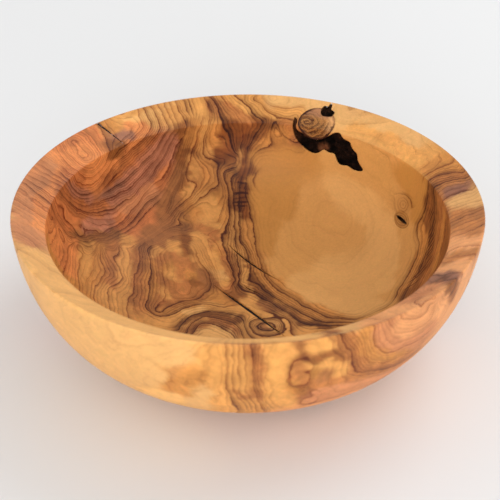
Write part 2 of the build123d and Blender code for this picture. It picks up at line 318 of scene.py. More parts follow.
# The ground between the lines: a tone, and the points of the course it follows.
INSIDE_GROUND = (
    # the lobe on the left
    ("umber", (-46, 134), (-48, 124), (-49, 114)),
    ("purple", (-52, 122), (-58, 106), (-66, 94), (-72, 86)),
    ("rust", (-56, 104), (-60, 96)),
    ("purple", (-62, 118), (-72, 100), (-80, 84), (-88, 72)),
    ("pink", (-64, 92), (-72, 78), (-78, 70)),
    ("mauve", (-84, 82), (-90, 78), (-94, 70)),
    ("deep_orange", (-76, 118), (-86, 100), (-94, 84), (-97, 74)),
    ("orange", (-80, 120), (-86, 108)),
    ("orange", (-96, 92), (-102, 88), (-106, 76), (-114, 68)),
    ("orange", (-112, 84), (-120, 78), (-128, 68)),
    ("rust", (-118, 66), (-126, 62), (-134, 58)),
    ("purple", (-108, 58), (-118, 53), (-128, 51)),
    ("deep_orange", (-134, 44), (-120, 46), (-106, 50), (-98, 58), (-92, 66)),
    ("purple", (-84, 60), (-92, 52), (-100, 45)),
    ("rust", (-80, 62), (-77, 60)),
    ("grey_brown", (-80, 52), (-90, 43), (-100, 35), (-108, 31)),
    ("deep_orange", (-136, 36), (-124, 38), (-110, 38)),
    ("rust", (-136, 26), (-124, 30), (-114, 31)),
    # below the lobe
    ("rust", (-134, 18), (-126, 22), (-118, 26)),
    ("orange", (-130, 10), (-121, 16), (-115, 20)),
    ("orange", (-126, 0), (-120, 8), (-116, 14)),
    ("orange", (-106, 26), (-107, 16), (-105, 4)),
    ("rust", (-113, 14), (-113, 2)),
    ("gold", (-95, 34), (-95, 22), (-94, 8)),
    ("amber", (-91, 36), (-88, 22), (-90, 6)),
    ("gold", (-84, 4), (-78, 4), (-74, 2)),
    ("amber", (-126, -14), (-110, -14), (-94, -14)),
    ("brown", (-80, 44), (-80, 34), (-78, 24), (-78, 16)),
    ("gold", (-73, 52), (-70, 44), (-70, 28), (-69, 14)),
    ("brown", (-64, 44), (-62, 26), (-62, 8)),
    ("grey_brown", (-62, 62), (-60, 48), (-58, 36)),
    ("amber", (-56, 40), (-53, 26), (-53, 12)),
    # the middle
    ("rust", (-70, 58), (-64, 66), (-60, 71)),
    ("grey_brown", (-58, 66), (-54, 58), (-50, 56)),
    ("gold", (-56, 48), (-53, 52)),
    ("brown", (-51, 44), (-52, 34), (-50, 26), (-50, 4)),
    ("grey_brown", (-45, 104), (-48, 92), (-46, 80), (-46, 68), (-52, 62)),
    ("umber", (-40, 104), (-40, 96)),
    ("umber", (-37, 64), (-36, 56)),
    ("grey_brown", (-38, 78), (-36, 72)),
    ("gold", (-45, 58), (-43, 54)),
    ("brown", (-44, 48), (-38, 46), (-33, 43)),
    ("amber", (-49, 37), (-46, 36)),
    ("gold", (-45, 34), (-43, 31.5), (-41, 29)),
    ("brown", (-41, 37), (-38, 30), (-37, 24)),
    ("amber", (-36, 36), (-33, 33)),
    ("brown", (-46, 26), (-42, 18), (-38, 14)),
    ("brown", (-36, 26), (-32, 20), (-28, 15)),
    ("umber", (-32, 30), (-30, 26)),
    ("gold", (-49, 18), (-47, 13)),
    ("brown", (-46, 6), (-42, 2), (-36, 8)),
    ("grey_brown", (-25, 36), (-23, 28), (-23.5, 20)),
    ("gold", (-31, 66), (-30, 58), (-28, 50), (-25, 44)),
    ("gold", (-25, 64), (-23, 56), (-21, 48)),
    ("amber", (-18, 62), (-15, 54)),
    # the top, left of the dark band
    ("amber", (-41, 136), (-41, 128), (-42, 122)),
    ("umber", (-42, 118), (-43, 112)),
    ("gold", (-33, 136), (-34, 126), (-30, 122)),
    ("amber", (-28, 136), (-26, 126), (-22, 130)),
    ("gold", (-40, 112), (-37, 104), (-37, 96)),
    ("amber", (-28, 112), (-25, 106), (-28, 102)),
    ("gold", (-30, 90), (-22, 90), (-17, 86), (-24, 82), (-18, 76)),
    ("amber", (-34, 84), (-38, 76)),
    ("brown", (-26, 72), (-20, 66), (-22, 60)),
    ("dark", (-18, 137), (-16, 126), (-15, 118), (-20, 120)),
    # the pale streak and the dark band
    ("gold", (-19, 52), (-17, 44), (-16, 34), (-14, 29)),
    ("cream", (-16, 38), (-15, 33)),
    ("gold", (-17, 62), (-18, 56)),
    ("brown", (-13, 56), (-11.5, 46), (-9, 34), (-8, 24)),
    ("amber", (-13, 108), (-13, 96), (-14, 82), (-14, 70)),
    ("gold", (-5.5, 122), (-6, 114)),
    ("dark", (-9, 138), (0, 139), (7, 140)),
    ("dark", (-9, 130), (-2, 131), (2, 133)),
    ("dark", (-10, 124), (-8, 116)),
    ("dark", (-1, 126), (-1, 118)),
    ("umber", (-7.5, 108), (-7, 98), (-7, 88)),
    ("gold", (-7, 84), (-7, 72), (-6, 60)),
    ("dark", (-3, 112), (-3, 102), (-3, 92), (-3, 82)),
    ("amber", (-3, 76), (-3, 66), (-1, 58)),
    ("gold", (-4, 56), (-2, 44), (0, 32), (1, 22)),
    ("umber", (-2, 50), (1, 40), (3, 30), (6, 20), (10, 13)),
    ("amber", (2, 54), (5, 44), (8, 34), (12, 26), (18, 16), (26, 7), (36, -3), (48, -11)),
    # the disc
    ("umber", (6, 131), (12, 136), (20, 138)),
    ("amber", (10, 128), (20, 132), (30, 134)),
    ("dull_tan", (6, 117), (16, 119), (28, 120), (40, 116)),
    ("dull_tan", (6, 106), (6, 92), (9, 76), (10, 62)),
    ("dull_tan", (22, 102), (30, 98), (24, 86)),
    ("tan", (16, 46), (22, 36), (28, 76), (34, 58)),
    ("pale_tan", (30, 28), (38, 16), (50, 4), (62, -3), (74, -2)),
    ("pale_tan", (46, 34), (50, 20), (60, 26), (70, 14), (80, 10)),
    ("tan", (36, 92), (42, 78), (50, 66), (64, 60)),
    ("pale_tan", (62, 92), (72, 80), (76, 60), (88, 44), (84, 26)),
    ("tan", (60, 112), (74, 104), (86, 90), (96, 74), (102, 60)),
    ("tan", (96, 24), (101, 34), (98, 44)),
    ("tan", (90, 12), (84, 6), (78, 0)),
    # the patch on the right
    ("dull_tan", (110, 46), (114, 56), (108, 72), (118, 64), (126, 56)),
    ("amber", (91, -1), (98, 7), (104, 14), (109, 22), (111, 32)),
    ("umber", (92, -7), (101, 3), (109, 11), (118, 21), (126, 29)),
    ("umber", (114, 32), (122, 36), (131, 42)),
    ("brown", (104, -6), (112, 1), (122, 10), (134, 20)),
    ("amber", (114, -4), (120, 4), (126, 12), (134, 14)),
    ("umber", (112, -18), (124, -8), (136, 4)),
    ("brown", (138, 14), (139, 30)),
    # the bottom
    ("amber", (-20, 14), (-16, 10), (-12, 8)),
    ("umber", (-4, 22), (-4, 15), (-7, 10)),
    ("gold", (2, 20), (3, 12), (0, 6)),
    ("gold", (2, 2), (6, -4), (14, -5), (20, -6)),
    ("grey_brown", (6, 7), (11, 3), (17, 0)),
    ("amber", (-46, -4), (-41, -1), (-38, 4), (-33, 7)),
    ("light", (-36, 0), (-34, -3), (-31, 0), (-27, 1)),
    ("gold", (-46, -12), (-40, -9), (-37, -4)),
    ("gold", (-22, 2), (-15, 1), (-8, -1)),
    ("umber", (-35, -13), (-32, -8), (-28, -5), (-21, -2.5), (-12, -4.5), (-6, -9)),
    ("gold", (-32, -15), (-29, -9.5), (-24, -8)),
    ("brown", (-30, -18), (-26, -11), (-20, -10), (-13, -12), (-8, -17)),
    ("light", (-25, -19), (-19, -18), (-14, -21)),
    ("gold", (-2, -14), (0, -20), (3, -25)),
    ("gold", (4, -11), (12, -9), (17, -11), (16.5, -19), (10, -21.5), (4, -19)),
    ("grey_brown", (7, -15), (10, -15)),
    ("light", (14, -12), (14.5, -15)),
    ("gold", (21, -9), (22, -15), (22, -22)),
    ("umber", (24, -5), (28, -13), (32, -15), (44, -17)),
    ("gold", (30, -19), (44, -21), (60, -22), (76, -18)),
    # the hidden front of the inside
    ("gold", (-60, -40), (-50, -70), (-40, -110)),
    ("brown", (-20, -50), (-15, -80), (-10, -115)),
    ("amber", (20, -50), (28, -85), (30, -120)),
    ("brown", (60, -50), (75, -75), (85, -95)),
    ("amber", (-110, -45), (-95, -70), (-75, -95)),
    # the rim
    ("rust", (-118, 104), (-126, 94), (-134, 84)),
    ("amber", (-106, 119), (-102, 115)),
    ("mauve", (-98, 112), (-93, 112), (-88, 114)),
    ("umber", (-98, 104), (-100, 98)),
    ("orange", (-92, 122), (-86, 118)),
    ("light", (-92, 126), (-76, 136), (-66, 142), (-56, 147)),
    ("gold", (-62, 142), (-48, 147), (-36, 149)),
    ("gold", (-98, 124), (-84, 134), (-68, 142), (-54, 148), (-40, 154)),
    ("brown", (-25, 153), (-18, 151), (-11, 147), (2, 143)),
    ("gold", (-6, 154), (0, 150)),
    ("gold", (-16, 160), (-4, 158), (6, 154), (12, 149)),
    ("cream", (18, 155), (36, 151), (52, 147)),
    ("gold", (22, 146), (30, 147), (38, 146)),
    ("brown", (27, 139), (32, 137), (31, 133), (35, 130)),
    ("cream", (76, 135), (92, 122), (110, 108), (124, 92)),
    ("gold", (84, 126), (100, 112), (118, 92), (130, 74)),
    ("amber", (134, 62), (144, 56), (150, 50)),
    ("brown", (140, 50), (148, 44)),
    ("mauve", (143, 30), (149, 26)),
    ("cream", (142, 16), (158, 12)),
    ("brown", (144, -6), (158, -16), (152, -30)),
    ("rose", (140, -40), (152, -47)),
    ("brown", (136, -56), (146, -60)),
    ("rose", (133, -66), (140, -78)),
    ("mauve", (126, -78), (131, -88)),
    ("soot", (127.5, -85), (125, -84)),
    ("pink", (122, -90), (116, -94), (106, -104)),
    ("rose", (120, -106), (108, -114), (94, -118), (84, -128), (72, -136)),
    ("cream", (64, -134), (58, -146)),
    ("brown", (52, -141), (48, -148)),
    ("light", (40, -146), (22, -152), (6, -152)),
    ("light", (-14, -150), (-40, -146), (-66, -136)),
    ("light", (-84, -126), (-104, -112), (-118, -98)),
    ("light", (-126, -84), (-136, -66), (-142, -54)),
    ("pink", (-146, -40), (-151, -26)),
    ("pink", (-151, -8), (-152, 6), (-149, 24), (-144, 42), (-140, 58)),
    ("orange", (-146, -12), (-147, 14), (-143, 34), (-134, 70)),
    ("orange", (-128, 78), (-122, 90)),
)

OUTSIDE_GROUND = (
    ("umber", (-36.5, 3), (-37, 7)),
    ("cream", (-180, 10), (-160, 10), (-140, 10), (-120, 10), (-104, 8)),
    ("cream", (-170, 40), (-145, 40), (-125, 40), (-112, 30)),
    ("cream", (-165, 70), (-140, 70), (-120, 65)),
    ("amber", (-100, 22), (-104, 30), (-108, 40)),
    ("cream", (-100, 36), (-102, 50), (-104, 66)),
    ("light", (-110, 50), (-114, 54)),
    ("gold", (-97, 8), (-97, 30), (-97, 50), (-97, 66)),
    ("gold", (-94, 5), (-93.5, 30), (-94, 60)),
    ("gold", (-92, 6), (-91.3, 24), (-91.2, 34)),
    ("brown", (-92.6, 37), (-91.8, 39)),
    ("gold", (-90, 46), (-88.5, 60)),
    ("brown", (-88, 4), (-87.6, 14), (-87.4, 24)),
    ("brown", (-87.3, 34), (-86.8, 42)),
    ("gold", (-85.3, 0), (-84.5, 16), (-84.5, 34), (-84, 50)),
    ("gold", (-82.3, 4), (-81.8, 18)),
    ("brown", (-79, 2), (-78.9, 8), (-78.8, 14), (-78.6, 22)),
    ("gold", (-77, 5), (-74, 4), (-71.5, 5)),
    ("umber", (-77, 14), (-74.5, 12.5), (-72, 11.5), (-70, 13.5), (-68.3, 15.5)),
    ("gold", (-76.5, 17.5), (-74, 17), (-70.5, 17.5), (-68.4, 21), (-67.3, 26)),
    ("amber", (-79.4, 28), (-78.8, 32)),
    ("amber", (-75, 20), (-74.5, 24)),
    ("grey_brown", (-73, 24), (-72, 31)),
    ("brown", (-77, 27), (-75.5, 33), (-71, 38), (-68, 33)),
    ("pink", (-72, 42), (-66, 46), (-60, 50), (-52, 52)),
    ("brown", (-69, 4), (-67.2, 12), (-66, 21), (-64.6, 28), (-62, 33), (-57, 37), (-50, 40)),
    ("amber", (-64, 4), (-62.5, 14), (-59, 24), (-52, 30)),
    ("pink", (-60, 4), (-58, 14), (-54, 21), (-47, 23), (-40, 20)),
    ("rose", (-55, 8), (-51, 12), (-46, 12)),
    ("rose", (-52, 3), (-48, 3)),
    ("rose", (-40, 8), (-38, 22), (-32, 30)),
    ("rose", (-30, 5), (-28, 25), (-24, 45)),
    ("rose", (-60, 66), (-45, 66), (-32, 60)),
    ("rose", (-85, 76), (-75, 74), (-62, 80)),
    ("amber", (-95, 86), (-85, 88), (-60, 95)),
    ("rose", (-20, 15), (-12, 40), (-5, 60), (-15, 85)),
    ("brown", (0, 15), (8, 40), (16, 70)),
    ("gold", (25, 20), (40, 50), (35, 85)),
    ("cream", (50, 15), (70, 35), (60, 70)),
    ("orange", (90, 20), (100, 50), (95, 85)),
    ("brown", (110, 20), (118, 50), (112, 80)),
    ("deep_orange", (130, 20), (140, 50), (135, 85)),
    ("gold", (155, 20), (160, 50), (160, 85)),
    ("orange", (175, 50), (185, 80)),
    ("gold", (-150, 105), (-90, 108), (-30, 105), (30, 105), (90, 105), (150, 105)),
    ("amber", (-120, 140), (0, 140), (120, 140)),
)

# Bands of wood that dried across the grain: short dark rungs cross them.
RUNG_BANDS = (
    ((-11, 136), (-5, 134), (2, 134)),
    ((-4, 102), (-4, 92)),
    ((122, 32), (115, 18), (110, 8)),
    ((104, 5), (95, 0), (90, -5)),
)


def growth_lines():
    """Every growth line: its level, how dark it is drawn, and its course."""
    for level, strength, *course in INSIDE_LINES:
        yield level, strength, inside(course)
    for level, strength, *course in OUTSIDE_LINES:
        yield level, strength, outside(course)
    for azimuth, level in REAR_LINES:
        lean = REAR_LEAN * math.sin(3 * math.radians(azimuth))
        course = ((azimuth, 0), (azimuth + lean, 35), (azimuth - lean, 70), (azimuth + 4, 105))
        yield level, REAR_STRENGTH, outside(course)


def ground_courses():
    """Every stretch of the ground: its tone and its course."""
    for tone, *course in INSIDE_GROUND:
        yield tone, inside(course)
    for tone, *course in OUTSIDE_GROUND:
        yield tone, outside(course)


# ---------------------------------------------------------------- the figure's fields

# Millimetres on the ball, except FIELD_EASE, which lets the field miss crowded lines a little
LINE_STEP = 4.5
LINE_REACH = 4.5
FIELD_BLUNTNESS = 3.0
FIELD_EASE = 0.15
GROUND_STEP = 5.0
GROUND_BLUR = 1.8
RUNG_STEP = 2.0
RUNG_REACH = 3.6

# The ground's patches waver: the size of each layer of waves, and its share of the reach
WAVER_LAYERS = ((9.0, 1.0), (4.0, 0.5), (2.2, 0.3))
WAVER_REACH = 3.2
WAVER_SEED = 3

SECTION_STOPS = 1400


def linear(colour):
    """Light amounts for a colour given as seen, 0 to 255."""
    seen = np.array(colour, float) / 255
    return np.where(seen <= 0.04045, seen / 12.92, ((seen + 0.055) / 1.055) ** 2.4)


def batches(points, size=4000):
    """The points in rows of a length that fits in memory."""
    return [points[start:start + size] for start in range(0, len(points), size)]


def distances(points, centres):
    """The distance from every point to every centre."""
    square = (points ** 2).sum(1)[:, None] + (centres ** 2).sum(1)[None, :] - 2 * points @ centres.T
    return np.sqrt(np.maximum(square, 0))


class GrowthField:
    """The smooth field that has each growth line's level along its course."""

    def __init__(self, lines):
        traces = [(level, strength, trace(course, LINE_STEP)) for level, strength, course in lines]
        self.centres = np.vstack([points for _, _, points in traces])
        self.strengths = np.concatenate([np.full(len(points), strength) for _, strength, points in traces])
        levels = np.concatenate([np.full(len(points), float(level)) for level, _, points in traces])
        count = len(levels)
        bends = np.sqrt(distances(self.centres, self.centres) ** 2 + FIELD_BLUNTNESS ** 2)
        bends -= FIELD_EASE * np.eye(count)
        system = np.zeros((count + 1, count + 1))
        system[:count, :count] = bends
        system[:count, count] = 1
        system[count, :count] = 1
        answer = np.linalg.solve(system, np.r_[levels, 0])
        self.weights, self.offset = answer[:count], answer[count]

    def sample(self, points):
        """Level, levels per millimetre and the strength of the nearest lines at points on the ball."""
        results = []
        for batch in batches(points):
            away = distances(batch, self.centres)
            bends = np.sqrt(away ** 2 + FIELD_BLUNTNESS ** 2)
            level = bends @ self.weights + self.offset
            pull = self.weights / bends
            slope = np.linalg.norm(batch * pull.sum(1)[:, None] - pull @ self.centres, axis=1)
            near = np.exp(-(away / LINE_REACH) ** 2)
            mark = (near * self.strengths).sum(1) / np.maximum(near.sum(1), 1)
            results.append(np.stack([level, slope, mark], -1))
        return np.vstack(results)


def ground_tones(points):
    """Red, green, blue and figure strength of the ground at points on the ball."""
    traces = [(tone, trace(course, GROUND_STEP)) for tone, course in ground_courses()]
    centres = np.vstack([course for _, course in traces])
    tones = np.vstack([
        np.tile(np.r_[linear(TONES[tone][:3]), TONES[tone][3]], (len(course), 1)) for tone, course in traces
    ])
    results = []
    for batch in batches(points):
        weights = 1 / (distances(batch, centres) ** 2 + GROUND_BLUR ** 2) ** 3
        results.append(weights @ tones / weights.sum(1)[:, None])
    return np.vstack(results)


def rung_share(points):
    """How clearly the rungs show at points on the ball, 0 to 1."""
    centres = np.vstack([trace(inside(course), RUNG_STEP) for course in RUNG_BANDS])
    nearest = np.concatenate([distances(batch, centres).min(1) for batch in batches(points)])
    return np.exp(-(nearest / RUNG_REACH) ** 4)


def wavers(points):
    """Soft random offsets, one for each point on the ball, the same in every run."""
    noise.seed_set(WAVER_SEED)
    return sum(
        share * np.array([noise.noise_vector(Vector(point) / size) for point in points])
        for size, share in WAVER_LAYERS
    )


def locate(points):
    """For each point: the distance along the section and the angle about the axis of the nearest point on
    the turned surface, how deep below the surface it lies, and the surface's outward direction."""
    stops = np.linspace(0, ALONG[-1], SECTION_STOPS)
    marks = np.stack([np.interp(stops, ALONG, SECTION[:, axis]) for axis in range(2)], -1)
    tangents = np.gradient(marks, axis=0)
    tangents /= np.linalg.norm(tangents, axis=1)[:, None]
    flat = np.stack([np.hypot(points[:, 0], points[:, 1]), points[:, 2]], -1)
    index = np.concatenate([distances(batch / MM, marks / MM).argmin(1) for batch in batches(flat)])
    offset = flat - marks[index]
    tangent = tangents[index]
    place = stops[index] + (offset * tangent).sum(1)
    outward = np.stack([-tangent[:, 1], tangent[:, 0]], -1)
    depth = -(offset * outward).sum(1)
    angle = np.arctan2(points[:, 1], points[:, 0])
    direction = np.stack([outward[:, 0] * np.cos(angle), outward[:, 0] * np.sin(angle), outward[:, 1]], -1)
    return place, angle, depth, direction


def vertex_points(mesh):
    """The places of a mesh's vertices, one row each."""
    points = np.zeros(len(mesh.vertices) * 3)
    mesh.vertices.foreach_get("co", points)
    return points.reshape(-1, 3)


def add_value(mesh, name, values):
    """Stores a number on each vertex."""
    layer = mesh.attributes.new(name, "FLOAT", "POINT")
    layer.data.foreach_set("value", np.ascontiguousarray(values, np.float32))


def add_colour(mesh, name, values):
    """Stores a colour and a fourth number on each vertex."""
    layer = mesh.attributes.new(name, "FLOAT_COLOR", "POINT")
    layer.data.foreach_set("color", np.ascontiguousarray(values, np.float32).ravel())


def draw_figure(mesh):
    """Stores the growth field and the ground's tones on a mesh that lies on the bowl's surface."""
    place, angle, _, _ = locate(vertex_points(mesh))
    on_ball = ball(place, angle)
    level, slope, mark = GrowthField(growth_lines()).sample(on_ball).T
    add_value(mesh, "level", level)
    add_value(mesh, "slope", slope)
    add_value(mesh, "mark", mark)
    add_value(mesh, "rungs", rung_share(on_ball))
    add_colour(mesh, "tone", ground_tones(on_ball + WAVER_REACH * wavers(on_ball)))


# ---------------------------------------------------------------- materials

class Graph:
    """A material's nodes, added one call at a time."""

    def __init__(self, name):
        self.material = bpy.data.materials.new(name)
        self.material.use_nodes = True
        self.tree = self.material.node_tree
        self.tree.nodes.clear()

    def node(self, kind, **settings):
        made = self.tree.nodes.new(kind)
        for key, value in settings.items():
            setattr(made, key, value)
        return made

    def feed(self, socket, value):
        """Links an output to a socket, or sets the socket's own value."""
        if isinstance(value, bpy.types.NodeSocket):
            self.tree.links.new(value, socket)
        else:
            socket.default_value = value

    def feed_all(self, made, values):
        """Feeds a node's inputs by name."""
        for name, value in values.items():
            self.feed(made.inputs[name], value)
        return made.outputs

    def math(self, operation, *inputs):
        made = self.node("ShaderNodeMath", operation=operation)
        for socket, value in zip(made.inputs, inputs):
            self.feed(socket, value)
        return made.outputs[0]

    def times(self, *values):
        return reduce(partial(self.math, "MULTIPLY"), values)

    def plus(self, *values):
        return reduce(partial(self.math, "ADD"), values)

    def minus(self, value, less):
        return self.math("SUBTRACT", value, less)

    def attribute(self, name):
        """The outputs of a value stored on the mesh."""
        return self.node("ShaderNodeAttribute", attribute_name=name).outputs

    def position(self):
        """The place on the object, in metres."""
        return self.node("ShaderNodeTexCoord").outputs["Object"]

    def noise(self, vector, scale, detail, w=None, roughness=0.5, distortion=0.0):
        """Noise between 0 and 1; w slides it through a fourth dimension."""
        made = self.node("ShaderNodeTexNoise", noise_dimensions="3D" if w is None else "4D")
        values = {"Vector": vector, "Scale": scale, "Detail": detail, "Roughness": roughness}
        if w is not None:
            values["W"] = w
        return self.feed_all(made, {**values, "Distortion": distortion})["Fac"]

    def step_noise(self, value):
        """A random number between 0 and 1 that changes where the value passes a whole number."""
        made = self.node("ShaderNodeTexWhiteNoise", noise_dimensions="1D")
        self.feed(made.inputs["W"], self.math("FLOOR", value))
        return made.outputs["Value"]

    def stretch(self, value, low, high, start=0.0, end=1.0):
        """Maps low..high onto start..end, and holds the value at both ends."""
        made = self.node("ShaderNodeMapRange", clamp=True)
        for socket, part in zip(made.inputs, (value, low, high, start, end)):
            self.feed(socket, part)
        return made.outputs["Result"]

    def mix(self, share, first, second, mode="MIX"):
        """A share of the second colour over the first."""
        made = self.node("ShaderNodeMix", data_type="RGBA", blend_type=mode)
        return self.feed_all(made, {"Factor": share, "A": first, "B": second})["Result"]

    def ink(self, share, ground, colour):
        """A colour over the ground, where more than a full share still counts as one."""
        return self.mix(self.math("MINIMUM", share, 1.0), ground, colour)

    def shift(self, colour, hue=0.5, value=1.0):
        """The colour with its hue turned (0.5 is no turn) and its brightness multiplied."""
        made = self.node("ShaderNodeHueSaturation")
        return self.feed_all(made, {"Hue": hue, "Value": value, "Color": colour})["Color"]

    def finish(self, colour, roughness, bump=None, depth=0.0, specular=0.4):
        """Closes the graph with a surface, and returns the material."""
        values = {"Base Color": colour, "Roughness": roughness, "Specular IOR Level": specular}
        if bump is not None:
            relief = self.node("ShaderNodeBump")
            values["Normal"] = self.feed_all(relief, {"Height": bump, "Distance": depth})[0]
        surface = self.feed_all(self.node("ShaderNodeBsdfPrincipled"), values)[0]
        self.feed(self.node("ShaderNodeOutputMaterial").inputs["Surface"], surface)
        return self.material


def rgba(*seen):
    """A shader colour for a colour given as seen, 0 to 255."""
    return (*linear(seen), 1.0)


def growth_marks(graph, level, slope, sharp, soft):
    """Darkness of the lines where the level passes whole numbers: it fades over soft millimetres on one
    side and over sharp millimetres on the other."""
    share = graph.math("FRACT", level)
    after = graph.math("DIVIDE", share, slope)
    before = graph.math("DIVIDE", graph.minus(1.0, share), slope)
    faded_after = graph.math("EXPONENT", graph.times(after, -1.0 / soft))
    faded_before = graph.math("EXPONENT", graph.times(before, -1.0 / sharp))
    return graph.math("MAXIMUM", faded_after, faded_before)


# Fine lines drawn for every level
FINE_LINES = 4.0

# Levels per millimetre that are added everywhere, so that no line gets endlessly wide
LEAST_SLOPE = 0.03

# Rungs for every metre along Y
RUNG_COUNT = 480.0

# What the ground's colour is multiplied by under a faint line and under a strong one
FAINT_LINE = (0.32, 0.15, 0.08, 1.0)
STRONG_LINE = (0.14, 0.06, 0.03, 1.0)


class WoodFigure:
    """What the olive wood's graph reads off the mesh, with the growth level made to wander a little."""

    def __init__(self, graph):
        tone = graph.attribute("tone")
        self.place = graph.position()
        self.tone = tone["Color"]
        self.strength = tone["Alpha"]
        self.mark = graph.attribute("mark")["Fac"]
        self.rungs = graph.attribute("rungs")["Fac"]
        self.slope = graph.plus(graph.attribute("slope")["Fac"], LEAST_SLOPE)
        shake = graph.minus(graph.noise(self.place, 110.0, 4.0, roughness=0.6), 0.5)
        drift = graph.minus(graph.noise(self.place, 38.0, 2.0), 0.5)
        wander = (graph.times(shake, self.slope, 3.5), graph.times(drift, 0.7))
        self.level = graph.plus(graph.attribute("level")["Fac"], *wander)
        self.fine_level = graph.times(self.level, FINE_LINES)
        self.fine_slope = graph.times(self.slope, FINE_LINES)
        self.room = graph.stretch(self.fine_slope, 0.9, 2.0, 1.0, 0.0)
        self.strong = growth_marks(graph, self.level, self.slope, sharp=0.3, soft=1.2)
        self.fine = growth_marks(graph, self.fine_level, self.fine_slope, sharp=0.15, soft=0.55)


def ground_colour(graph, figure):
    """The ground's tone with streaks along the growth, fine year rings, mottling and flecks."""
    place, strength = figure.place, figure.strength
    streaks = graph.noise(place, 16.0, 5.0, w=graph.times(figure.level, 4.0), roughness=0.6)
    rings = graph.step_noise(figure.fine_level)
    mottle = graph.noise(place, 45.0, 5.0, roughness=0.6, distortion=1.2)
    flecks = graph.noise(place, 95.0, 4.0, roughness=0.55, distortion=2.0)
    brightness = graph.plus(
        graph.times(strength, 0.22),
        1.04,
        graph.times(graph.minus(streaks, 0.5), strength, 1.2),
        graph.times(graph.minus(rings, 0.5), strength, figure.room, 0.34),
        graph.times(graph.minus(mottle, 0.5), graph.plus(strength, 0.3), 0.5),
        graph.times(graph.stretch(flecks, 0.35, 0.65, -0.5, 0.5), strength, 0.42),
    )
    redness = graph.stretch(streaks, 0.3, 0.7, 0.504, 0.496)
    return graph.shift(figure.tone, hue=redness, value=brightness)


def line_ink(graph, figure):
    """How much of the lines' colour lies on the ground: strong lines, and fine ones where there is room."""
    breaks = graph.stretch(graph.noise(figure.place, 55.0, 2.0), 0.35, 0.6, 0.35, 1.0)
    fading = graph.noise(figure.place, 60.0, 2.0, w=graph.times(figure.level, 0.9))
    fading = graph.stretch(fading, 0.35, 0.65)
    faint = graph.plus(graph.times(figure.strength, fading, 0.9), graph.times(figure.mark, 0.4))
    return graph.plus(
        graph.times(figure.strong, graph.math("POWER", figure.mark, 1.5), breaks, 1.1),
        graph.times(figure.strong, figure.strength, fading, 0.2),
        graph.times(figure.fine, faint, figure.room, 0.9),
    )


def rung_ink(graph, figure):
    """Dark rungs across the dried bands; chance decides how clearly each one shows."""
    axes = graph.node("ShaderNodeSeparateXYZ")
    graph.feed(axes.inputs[0], figure.place)
    bend = graph.times(graph.noise(figure.place, 60.0, 2.0), 2.4)
    level = graph.plus(graph.times(axes.outputs["Y"], RUNG_COUNT), bend)
    bar = graph.stretch(graph.math("PINGPONG", level, 0.5), 0.24, 0.36)
    chance = graph.stretch(graph.step_noise(level), 0.1, 0.5)
    return graph.times(bar, figure.rungs, chance, 0.9)


def olive_wood():
    """Oiled olive wood that follows the figure stored on the mesh."""
    graph = Graph("olive_wood")
    figure = WoodFigure(graph)
    ground = ground_colour(graph, figure)
    darkening = graph.mix(graph.stretch(figure.mark, 0.55, 0.95), FAINT_LINE, STRONG_LINE)
    line = graph.mix(1.0, ground, darkening, "MULTIPLY")
    colour = graph.ink(graph.plus(line_ink(graph, figure), rung_ink(graph, figure)), ground, line)
    grain = graph.noise(figure.place, 900.0, 2.0)
    colour = graph.shift(colour, value=graph.stretch(grain, 0.3, 0.7, 0.95, 1.05))
    roughness = graph.stretch(grain, 0.2, 0.8, 0.45, 0.6)
    height = graph.plus(graph.times(grain, 0.3), graph.times(figure.strong, -0.4))
    return graph.finish(colour, roughness, height, depth=0.05 * MM, specular=0.25)


class Facing:
    """A plane in the wall that faces the bowl's axis, turned up by a tilt; x runs clockwise from above."""

    def __init__(self, azimuth, tilt, distance, height):
        turn, rise = math.radians(azimuth), math.radians(tilt)
        self.centre = Vector((distance * math.cos(turn), distance * math.sin(turn), height))
        self.sideways = Vector((math.sin(turn), -math.cos(turn), 0))
        inward = -math.cos(rise)
        facing = Vector((inward * math.cos(turn), inward * math.sin(turn), math.sin(rise)))
        self.upward = facing.cross(self.sideways)

    def coordinates(self, graph):
        """x and y in the plane, in millimetres."""
        return [self.measure(graph, axis) for axis in (self.sideways, self.upward)]

    def measure(self, graph, axis):
        """How far a point lies from the plane's centre along an axis of the plane."""
        product = graph.node("ShaderNodeVectorMath", operation="DOT_PRODUCT")
        graph.feed(product.inputs[0], graph.position())
        graph.feed(product.inputs[1], axis / MM)
        return graph.minus(product.outputs["Value"], self.centre.dot(axis) / MM)


# Where the knots face, and places in the rim knot's plane in millimetres
RIM_KNOT = Facing(azimuth=68.0, tilt=35.0, distance=113 * MM, height=75.55 * MM)
WALL_KNOT = Facing(azimuth=28.0, tilt=29.3, distance=99.5 * MM, height=42.2 * MM)
KNOT_MIDDLE = (-0.9, -2.3)
KNOT_EYE = (-6.0, -2.6)
KNOT_FLATNESS = 0.87
BARK_NOTCH = (5.6, -15.6)


def distance_from(graph, x, y, centre, stretch=(1.0, 1.0)):
    """Distance from a point of a plane, measured with each axis scaled."""
    squares = []
    for value, middle, scale in zip((x, y), centre, stretch):
        away = graph.times(graph.minus(value, middle), scale)
        squares.append(graph.math("POWER", graph.math("ABSOLUTE", away), 2.0))
    return graph.math("SQRT", graph.plus(*squares))


def knot_folds(graph, x, y, wander):
    """A level that winds round the rim knot's eye like a snail's shell."""
    eye_x, eye_y = KNOT_EYE
    reach = distance_from(graph, x, y, KNOT_EYE, (1.0, 1.3))
    turn = graph.math("ARCTAN2", graph.minus(y, eye_y), graph.minus(x, eye_x))
    return graph.plus(graph.times(reach, 0.3), graph.times(turn, -0.5 / math.pi), graph.times(wander, 2.8))


